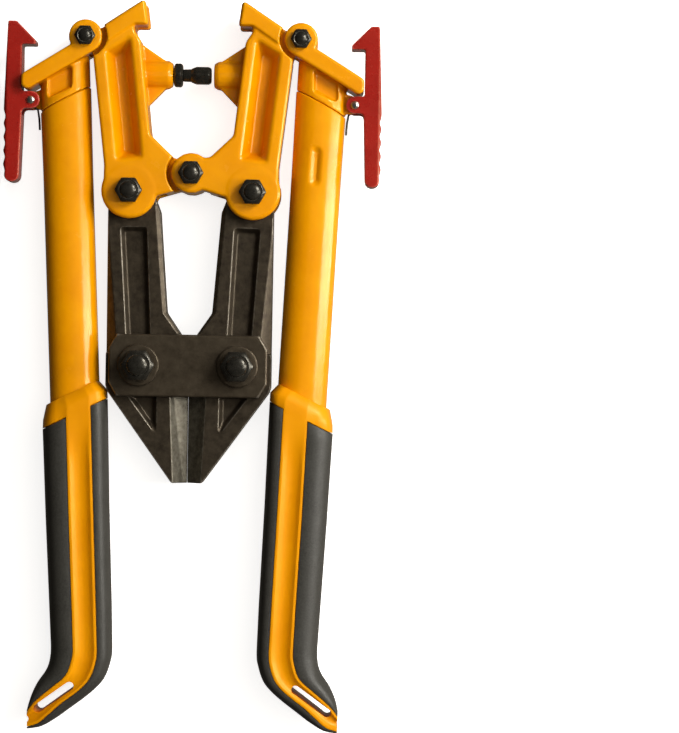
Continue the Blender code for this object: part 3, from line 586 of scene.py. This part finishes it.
def grip_points(station, ring):
    outer, inner = Vector(station[0]), Vector(station[1])
    points = []
    for share, z in ring:
        spot = outer + (inner - outer) * share
        points.append((-spot.x, spot.y, z))
    return points


def strip_profile(first, second, width, depth, trough):
    """Across the strip, from its outer edge to its inner one: two rims and a round trough between."""
    rim = min(RIM / width, (second - first) * 0.3)
    profile = [(first, depth)]
    for step in range(TROUGH_STEPS + 1):
        share = step / TROUGH_STEPS
        across = first + rim + (second - first - 2.0 * rim) * share
        profile.append((across, depth - trough * math.sin(math.pi * share) ** 0.7))
    profile.append((second, depth))
    return profile


def core_ring(station, inset, trough):
    """The core's section: troughed strips at front and back, and seats for the two rubber panels."""
    first, second, depth = station[2:]
    width = grip_width(station)
    narrow = inset / width
    outer_side = grip_side(min(narrow, SEAT_LIMIT * first), first, depth, inset)
    inner_side = grip_side(1.0 - min(narrow, SEAT_LIMIT * (1.0 - second)), second, depth, inset)
    front = strip_profile(first, second, width, depth, trough)
    ring = outer_side + [(share, -z) for share, z in front] + inner_side[::-1] + front[::-1]
    return grip_points(station, ring)


def panel_ring(station, side):
    """A rubber panel's section: a skin round one side of the core, from strip to strip."""
    first, second, depth = station[2:]
    width = grip_width(station)
    edge, strip = (0.0, first) if side == "outer" else (1.0, second)
    inward = 1.0 if side == "outer" else -1.0
    clear = 0.25 / width * -inward
    seat = min(PANEL_THICK / width, SEAT_LIMIT * abs(strip - edge)) * inward + clear
    outside = grip_side(edge, strip + clear, depth - 0.15, 0.0)
    inside = grip_side(edge + seat, strip + clear, depth - 0.15, PANEL_THICK - GAP - 0.2)
    return grip_points(station, outside + inside[::-1])


def shifted(station, distance):
    """A station moved along the grip, away from the collar."""
    outer, inner = station[:2]
    return ((outer[0], outer[1] - distance), (inner[0], inner[1] - distance)) + station[2:]


def prism(name, outline, low, high):
    return loft(name, [[(-out, y, z) for out, y in outline] for z in (low, high)])


def rounded_slot(start, end, radius):
    """The outline of a round-ended slot between two points."""
    start, end = Vector(start), Vector(end)
    along = (end - start).normalized()
    side = Vector((-along.y, along.x))
    points = []
    for centre, sign in ((end, 1.0), (start, -1.0)):
        for step in range(13):
            angle = math.pi / 2.0 - math.pi * step / 12
            offset = along * math.cos(angle) * sign + side * math.sin(angle) * sign
            points.append(tuple(centre + offset * radius))
    return points


def add_grips(finishes):
    """Hard cores with collar, troughed strips and hanging slot, each with two rubber panels."""
    first = GRIP_STATIONS[0]
    stations = between(GRIP_STATIONS)
    rings = [core_ring(COLLAR[0], 0.01, 0.0)]
    for share in (0.25, 0.5, 0.75):
        rings.append(core_ring(blended(COLLAR[0], COLLAR[1], share), 0.01, 0.0))
    rings += [core_ring(COLLAR[1], 0.01, 0.0), core_ring(first, 0.01, 0.0)]
    rings.append(core_ring(shifted(first, 0.1), PANEL_THICK, 0.0))
    for index, station in enumerate(stations[1:]):
        rings.append(core_ring(station, PANEL_THICK, TROUGH * min(1.0, index / 2.0)))
    core = loft("grip_core_left_skin", rings)
    bore = loft("bore", [tube_ring(BORE_FROM, -GAP), tube_ring(TUBE_WHOLE, -GAP),
                         tube_ring(TUBE_NECKED, TUBE_NECK - GAP), tube_ring(BORE_TO, TUBE_NECK - GAP)])
    slot = prism("slot", rounded_slot(*HANG_SLOT), -THROUGH, THROUGH)
    notch = loft("notch", [circle(*END_NOTCH, z, 32) for z in (-THROUGH, THROUGH)])
    cut(core, bore, slot, notch)
    round_edges(core, 0.22, 2, 35.0)
    panels = {}
    for side in ("outer", "inner"):
        rings = [panel_ring(shifted(first, 0.4), side)]
        rings += [panel_ring(station, side) for station in stations[1:]]
        panels[side] = round_edges(loft("grip_panel_" + side + "_left_skin", rings), 0.25, 2, 40.0)
    pieces = {"grip_core": core, "grip_panel_outer": panels["outer"], "grip_panel_inner": panels["inner"]}
    for name, piece in pieces.items():
        right = turned_over(piece, name + "_right_skin")
        dress(piece, name + "_left", finishes)
        dress(right, name + "_right", finishes)


def blended(first, second, share):
    """A station part of the way from one station to another, bulging as a quarter round does."""
    quick = math.sin(share * math.pi / 2.0)
    outer = tuple(a + (b - a) * share for a, b in zip(first[0], second[0]))
    inner = tuple(a + (b - a) * share for a, b in zip(first[1], second[1]))
    rest = tuple(a + (b - a) * quick for a, b in zip(first[2:], second[2:]))
    return (outer, inner) + rest


# ---------------------------------------------------------------- latch springs

def sweep(name, path, radius, sides=10):
    """A round wire along a path of points."""
    rings = []
    normal = Vector((0.0, 0.0, 1.0))
    for index, point in enumerate(path):
        ahead = path[min(index + 1, len(path) - 1)] - path[max(index - 1, 0)]
        ahead.normalize()
        normal = (normal - ahead * normal.dot(ahead)).normalized()
        other = ahead.cross(normal)
        ring = []
        for step in range(sides):
            angle = 2.0 * math.pi * step / sides
            ring.append(point + normal * math.cos(angle) * radius + other * math.sin(angle) * radius)
        rings.append(ring)
    return loft(name, rings)


def add_springs(finishes):
    """A torsion spring round each latch rivet: one leg down the tube, the other in the latch."""
    pivot = Vector(JOINTS["latch_left"]["pos_m"])
    middle = (pivot - CENTRE) / MM
    path = [Vector((-out, y, COIL_LOW)) for out, y in TUBE_LEG]
    for step in range(COIL_STEPS + 1):
        share = step / COIL_STEPS
        angle = COIL_FROM - 2.0 * math.pi * COIL_TURNS * share
        across = COIL_RADIUS * math.cos(angle)
        along = COIL_RADIUS * math.sin(angle)
        path.append(Vector((middle.x + across, middle.y + along, COIL_LOW + COIL_RISE * share)))
    path += [Vector((-out, y, COIL_LOW + COIL_RISE)) for out, y in LATCH_LEG]
    piece = sweep("latch_spring_left_skin", path, WIRE_RADIUS)
    right = turned_over(piece, "latch_spring_right_skin")
    dress(piece, "latch_spring_left", finishes)
    dress(right, "latch_spring_right", finishes)


# ---------------------------------------------------------------- materials

def node(tree, kind, **settings):
    made = tree.nodes.new("ShaderNode" + kind)
    for key, value in settings.items():
        setattr(made, key, value)
    return made


def noise(tree, scale, detail=3.0, roughness=0.55, stretch=(1.0, 1.0, 1.0)):
    """Noise in the object's own coordinates; scale is in lumps per metre."""
    coords = node(tree, "TexCoord")
    mapping = node(tree, "Mapping")
    mapping.inputs["Scale"].default_value = stretch
    texture = node(tree, "TexNoise")
    texture.inputs["Scale"].default_value = scale
    texture.inputs["Detail"].default_value = detail
    texture.inputs["Roughness"].default_value = roughness
    tree.links.new(coords.outputs["Object"], mapping.inputs["Vector"])
    tree.links.new(mapping.outputs["Vector"], texture.inputs["Vector"])
    return texture.outputs["Fac"]


def ramp(tree, factor, stops):
    """A value or colour ramp; stops are (position, value or colour)."""
    made = node(tree, "ValToRGB")
    elements = made.color_ramp.elements
    while len(elements) < len(stops):
        elements.new(0.5)
    for element, (position, value) in zip(elements, stops):
        colour = value if isinstance(value, tuple) else (value, value, value)
        element.position = position
        element.color = (*colour, 1.0)
    tree.links.new(factor, made.inputs["Fac"])
    return made.outputs["Color"]


def mix(tree, factor, first, second):
    """Mixes two colours, each a socket or a colour."""
    made = node(tree, "Mix", data_type="RGBA")
    tree.links.new(factor, made.inputs[0])
    for socket, value in ((made.inputs[6], first), (made.inputs[7], second)):
        if isinstance(value, tuple):
            socket.default_value = (*value, 1.0)
        else:
            tree.links.new(value, socket)
    return made.outputs[2]


def edges(tree, low, high):
    """White where a fitting's surface turns outward, as on an edge."""
    geometry = node(tree, "NewGeometry")
    return ramp(tree, geometry.outputs["Pointiness"], [(low, 0.0), (high, 1.0)])


def cast_edges(tree, low, high):
    """White on the outward edges of a remade piece."""
    mark = node(tree, "Attribute", attribute_name=EDGE_MARK)
    return ramp(tree, mark.outputs["Fac"], [(low, 0.0), (high, 1.0)])


def shade_in_hollows(tree, distance, low=0.35, high=0.95):
    """White in the hollows of the piece's own shape, where colour is darkened as painted shade."""
    occlusion = node(tree, "AmbientOcclusion", samples=8, only_local=True)
    occlusion.inputs["Distance"].default_value = distance * MM
    return ramp(tree, occlusion.outputs["AO"], [(low, 1.0), (high, 0.0)])


def bump(tree, height, strength, distance, under=None):
    made = node(tree, "Bump")
    made.inputs["Strength"].default_value = strength
    made.inputs["Distance"].default_value = distance * MM
    tree.links.new(height, made.inputs["Height"])
    if under is not None:
        tree.links.new(under, made.inputs["Normal"])
    return made.outputs["Normal"]


def material(name):
    made = bpy.data.materials.new(name)
    made.use_nodes = True
    return made, made.node_tree, made.node_tree.nodes["Principled BSDF"]


def wire_up(tree, shader, colour, roughness, normal):
    tree.links.new(colour, shader.inputs["Base Color"])
    tree.links.new(roughness, shader.inputs["Roughness"])
    tree.links.new(normal, shader.inputs["Normal"])


def paint(name, shades, hollow_shade_colour, edge_highlight, roughness, lumps):
    """Gloss paint on a casting: the shade drifts, is darker in hollows as painted shade, and paler on edges as a
    painted highlight.
    """
    made, tree, shader = material(name)
    drift = ramp(tree, noise(tree, 60.0, 5.0, 0.6), [(0.32, shades[0]), (0.7, shades[1])])
    # painted shade: the colour darkens towards the hollow shade colour in the casting's hollows
    colour = mix(tree, shade_in_hollows(tree, 6.0), drift, hollow_shade_colour)
    # painted highlight: the colour pales along the casting's outward edges
    colour = mix(tree, cast_edges(tree, 0.35, 1.1), colour, edge_highlight)
    gloss = ramp(tree, noise(tree, 160.0, 5.0, 0.65), [(0.3, roughness[0]), (0.75, roughness[1])])
    coarse = bump(tree, noise(tree, 130.0, 3.0, 0.5), lumps, 0.35)
    fine = bump(tree, noise(tree, 700.0, 3.0, 0.6), 0.12, 0.06, coarse)
    wire_up(tree, shader, colour, gloss, fine)
    shader.inputs["Specular IOR Level"].default_value = 0.40
    shader.inputs["Specular Tint"].default_value = (1.0, 0.88, 0.55, 1.0)
    shader.inputs["Coat Weight"].default_value = 0.15
    shader.inputs["Coat Roughness"].default_value = 0.1
    return made


def yellow_plastic():
    """Moulded plastic: satin, with a fine sparked texture, and darker in hollows as painted shade."""
    made, tree, shader = material("yellow_plastic")
    drift = ramp(tree, noise(tree, 60.0, 3.0), [(0.35, (0.76, 0.28, 0.0)), (0.7, (0.82, 0.325, 0.0))])
    # painted shade: darker orange in the plastic's hollows
    colour = mix(tree, shade_in_hollows(tree, 4.0), drift, (0.55, 0.13, 0.0))
    gloss = ramp(tree, noise(tree, 300.0, 4.0), [(0.3, 0.30), (0.75, 0.44)])
    normal = bump(tree, noise(tree, 2600.0, 2.0, 0.6), 0.25, 0.04)
    wire_up(tree, shader, colour, gloss, normal)
    shader.inputs["Specular IOR Level"].default_value = 0.40
    shader.inputs["Specular Tint"].default_value = (1.0, 0.88, 0.45, 1.0)
    return made


def rubber():
    """Soft moulded rubber: matte, fine pebbled, dusty in patches."""
    made, tree, shader = material("charcoal_rubber")
    patches = noise(tree, 70.0, 6.0, 0.6)
    dust = ramp(tree, patches, [(0.4, (0.022, 0.021, 0.018)), (0.7, (0.034, 0.033, 0.029))])
    grain = ramp(tree, noise(tree, 1500.0, 3.0, 0.7), [(0.35, 0.0), (0.7, 1.0)])
    colour = mix(tree, grain, dust, (0.045, 0.044, 0.039))
    gloss = ramp(tree, noise(tree, 220.0, 4.0), [(0.3, 0.46), (0.75, 0.60)])
    normal = bump(tree, noise(tree, 1900.0, 3.0, 0.7), 0.45, 0.06)
    wire_up(tree, shader, colour, gloss, normal)
    return made


def forged(name, dark, pale, edge_highlight):
    """Oiled forging: fine mottled scale, streaks down the length, darker in hollows as painted shade, and paler on
    edges, partly rubbed wear and partly painted highlight.
    """
    made, tree, shader = material(name)
    scale = ramp(tree, noise(tree, 260.0, 10.0, 0.7), [(0.34, dark), (0.68, pale)])
    streaks = ramp(tree, noise(tree, 900.0, 4.0, 0.6, (1.0, 0.12, 1.0)), [(0.5, 0.0), (0.85, 0.4)])
    colour = mix(tree, streaks, scale, pale)
    # painted shade: darker in the forging's hollows
    colour = mix(tree, shade_in_hollows(tree, 2.5), colour, dark)
    # paler edges: partly rubbed wear, partly painted highlight
    rubbed_and_lit = mix(tree, cast_edges(tree, 0.30, 0.9), (0.0, 0.0, 0.0), ramp_of_white(tree))
    colour = mix(tree, rubbed_and_lit, colour, edge_highlight)
    gloss = ramp(tree, noise(tree, 420.0, 6.0, 0.7), [(0.3, 0.34), (0.75, 0.54)])
    coarse = bump(tree, noise(tree, 330.0, 5.0, 0.6), 0.22, 0.15)
    fine = bump(tree, noise(tree, 1700.0, 4.0, 0.7), 0.35, 0.05, coarse)
    wire_up(tree, shader, colour, gloss, fine)
    shader.inputs["Metallic"].default_value = 0.7
    return made, tree, shader, colour, gloss


def ramp_of_white(tree):
    """Broken white, so that the paler edges, rubbed wear and painted highlight, aren't even."""
    return ramp(tree, noise(tree, 350.0, 4.0, 0.7), [(0.35, 0.25), (0.6, 1.0)])


def jaw_steel():
    """Forged steel with bright ground bevels beside the cutting edges."""
    made, tree, shader, colour, gloss = forged(
        "forged_steel", (0.037, 0.028, 0.019), (0.088, 0.070, 0.048), (0.34, 0.31, 0.26))
    coords = node(tree, "TexCoord")
    parts = node(tree, "SeparateXYZ")
    tree.links.new(coords.outputs["Object"], parts.inputs["Vector"])
    near = ramp(tree, scaled(tree, size_of(tree, parts.outputs["X"]), 1.0 / CENTIMETRE), GROUND_ACROSS)
    normal_parts = node(tree, "SeparateXYZ")
    geometry = node(tree, "NewGeometry")
    tree.links.new(geometry.outputs["True Normal"], normal_parts.inputs["Vector"])
    slanted = ramp(tree, size_of(tree, normal_parts.outputs["Z"]), GROUND_TILT)
    below = ramp(tree, scaled(tree, parts.outputs["Y"], -0.1 / CENTIMETRE), GROUND_BELOW)
    ground = mix(tree, near, (0.0, 0.0, 0.0), slanted)
    ground = mix(tree, below, (0.0, 0.0, 0.0), ground)
    grain = noise(tree, 480.0, 6.0, 0.7)
    spots = ramp(tree, grain, [(0.36, (0.085, 0.075, 0.058)), (0.66, (0.18, 0.166, 0.132))])
    bright = mix(tree, ground, colour, spots)
    smooth = ramp(tree, noise(tree, 260.0, 6.0, 0.7), [(0.3, 0.40), (0.75, 0.56)])
    tree.links.new(bright, shader.inputs["Base Color"])
    tree.links.new(mix(tree, ground, gloss, smooth), shader.inputs["Roughness"])
    return made


def size_of(tree, value):
    made = node(tree, "Math", operation="ABSOLUTE")
    tree.links.new(value, made.inputs[0])
    return made.outputs[0]


def scaled(tree, value, factor):
    made = node(tree, "Math", operation="MULTIPLY")
    tree.links.new(value, made.inputs[0])
    made.inputs[1].default_value = factor
    return made.outputs[0]


def steel(name, dark, pale, edge_highlight, roughness, metallic, marks):
    """Plain or blackened steel fittings: faint mottling, paler edges that are partly rubbed wear and partly
    painted highlight, fine tooling marks.
    """
    made, tree, shader = material(name)
    mottle = ramp(tree, noise(tree, 500.0, 6.0, 0.65), [(0.35, dark), (0.7, pale)])
    # paler edges: partly rubbed wear, partly painted highlight
    colour = mix(tree, edges(tree, 0.58, 0.70), mottle, edge_highlight)
    gloss = ramp(tree, noise(tree, 700.0, 5.0, 0.65), [(0.3, roughness[0]), (0.75, roughness[1])])
    normal = bump(tree, noise(tree, 1600.0, 4.0, 0.65), marks, 0.05)
    wire_up(tree, shader, colour, gloss, normal)
    shader.inputs["Metallic"].default_value = metallic
    return made


def make_finishes():
    return {
        "forged_steel": jaw_steel(),
        "plate_steel": forged("plate_steel", (0.056, 0.043, 0.028), (0.096, 0.076, 0.052),
                              (0.32, 0.29, 0.24))[0],
        "black_oxide": steel("black_oxide", (0.034, 0.032, 0.027), (0.068, 0.064, 0.054),
                             (0.30, 0.29, 0.25), (0.24, 0.34), 0.75, 0.03),
        # each paint's third colour is its painted shade in hollows, and its fourth its painted highlight on edges
        "yellow_paint": paint("yellow_paint", ((0.74, 0.268, 0.0), (0.82, 0.33, 0.0)),
                              (0.58, 0.155, 0.0), (0.92, 0.44, 0.01), (0.18, 0.30), 0.40),
        "yellow_plastic": yellow_plastic(),
        "charcoal_rubber": rubber(),
        "red_paint": paint("red_paint", ((0.27, 0.009, 0.007), (0.34, 0.014, 0.010)),
                           (0.14, 0.003, 0.003), (0.50, 0.075, 0.055), (0.22, 0.34), 0.25),
        "bright_steel": steel("bright_steel", (0.62, 0.61, 0.58), (0.80, 0.79, 0.76),
                              (0.90, 0.89, 0.87), (0.22, 0.36), 1.0, 0.25),
        "spring_steel": steel("spring_steel", (0.035, 0.034, 0.033), (0.07, 0.068, 0.065),
                              (0.22, 0.21, 0.20), (0.25, 0.4), 0.9, 0.25),
    }


# ---------------------------------------------------------------- stage

def add_floor():
    bm = bmesh.new()
    corners = [(-1.0, -1.0), (1.0, -1.0), (1.0, 1.0), (-1.0, 1.0)]
    bm.faces.new([bm.verts.new((x * FLOOR_REACH, y * FLOOR_REACH, -FLOOR_DROP)) for x, y in corners])
    floor = to_piece("floor", bm)
    made, tree, shader = material("floor")
    colour = ramp(tree, noise(tree, 3.0, 2.0), [(0.3, (0.86, 0.86, 0.86)), (0.7, (0.89, 0.89, 0.89))])
    gloss = ramp(tree, noise(tree, 40.0, 2.0), [(0.3, 0.6), (0.7, 0.7)])
    tree.links.new(colour, shader.inputs["Base Color"])
    tree.links.new(gloss, shader.inputs["Roughness"])
    tree.links.new(colour, shader.inputs["Emission Color"])
    shader.inputs["Emission Strength"].default_value = FLOOR_GLOW
    floor.data.materials.append(made)
    floor.visible_diffuse = False
    floor.visible_glossy = False


def add_light(name, place_at, size, power, colour, mirrored):
    """A soft box that faces the frame's origin."""
    lamp = bpy.data.lights.new(name, "AREA")
    lamp.shape = "RECTANGLE"
    lamp.size, lamp.size_y = size
    lamp.energy = power
    lamp.color = colour
    holder = bpy.data.objects.new(name, lamp)
    bpy.context.scene.collection.objects.link(holder)
    holder.visible_glossy = mirrored
    holder.location = place_at
    holder.rotation_euler = (-Vector(place_at)).to_track_quat("-Z", "Y").to_euler()


def add_world():
    """A plain studio: brighter on the right than on the left, and dim overhead."""
    world = bpy.data.worlds.new("studio")
    world.use_nodes = True
    bpy.context.scene.world = world
    tree = world.node_tree
    coords = node(tree, "TexCoord")
    parts = node(tree, "SeparateXYZ")
    tree.links.new(coords.outputs["Generated"], parts.inputs["Vector"])
    strength = node(tree, "Math", operation="MULTIPLY")
    for socket, (axis, low, high) in enumerate(WORLD_SPANS):
        span = node(tree, "MapRange")
        span.inputs["From Min"].default_value = -1.0
        span.inputs["From Max"].default_value = 1.0
        span.inputs["To Min"].default_value = low
        span.inputs["To Max"].default_value = high
        tree.links.new(parts.outputs[axis], span.inputs["Value"])
        tree.links.new(span.outputs["Result"], strength.inputs[socket])
    tree.links.new(strength.outputs[0], tree.nodes["Background"].inputs["Strength"])
    tree.nodes["Background"].inputs["Color"].default_value = WORLD_COLOUR


def add_camera():
    lens = bpy.data.cameras.new("camera")
    lens.sensor_fit = "VERTICAL"
    lens.sensor_width = SENSOR
    lens.sensor_height = SENSOR
    lens.lens = SENSOR * CAMERA_UP / VIEW_HEIGHT
    lens.clip_end = 20.0
    camera = bpy.data.objects.new("camera", lens)
    bpy.context.scene.collection.objects.link(camera)
    camera.location = place((*CAMERA_AT, CAMERA_UP))
    camera.rotation_euler = (0.0, 0.0, VIEW_ROLL)
    bpy.context.scene.camera = camera


# ---------------------------------------------------------------- assembly

def build():
    add_camera()
    add_world()
    add_floor()
    for light in LIGHTS:
        add_light(*light)
    bpy.context.scene.view_settings.view_transform = "Standard"

    finishes = make_finishes()
    for side in ("left", "right"):
        add_remade("arm", side, finishes, raised_flange(side))
        for kind in ("handle_end", "jaw", "latch"):
            add_remade(kind, side, finishes)
        for kind in ("jaw", "tail", "fold"):
            add_bolt(kind + "_bolt_" + side, finishes)
            add_nut(kind + "_nut_" + side, finishes)
        add_washer("jaw_washer_" + side, finishes)
        add_rivet("latch_rivet_" + side, finishes)
    for side in ("front", "back"):
        add_remade("jaw_plate", side, finishes)
    add_bolt("centre_bolt", finishes)
    add_nut("centre_nut", finishes)
    add_stop_screw(finishes)
    add_lock_nut(finishes)
    add_tubes(finishes)
    add_grips(finishes)
    add_springs(finishes)


build()
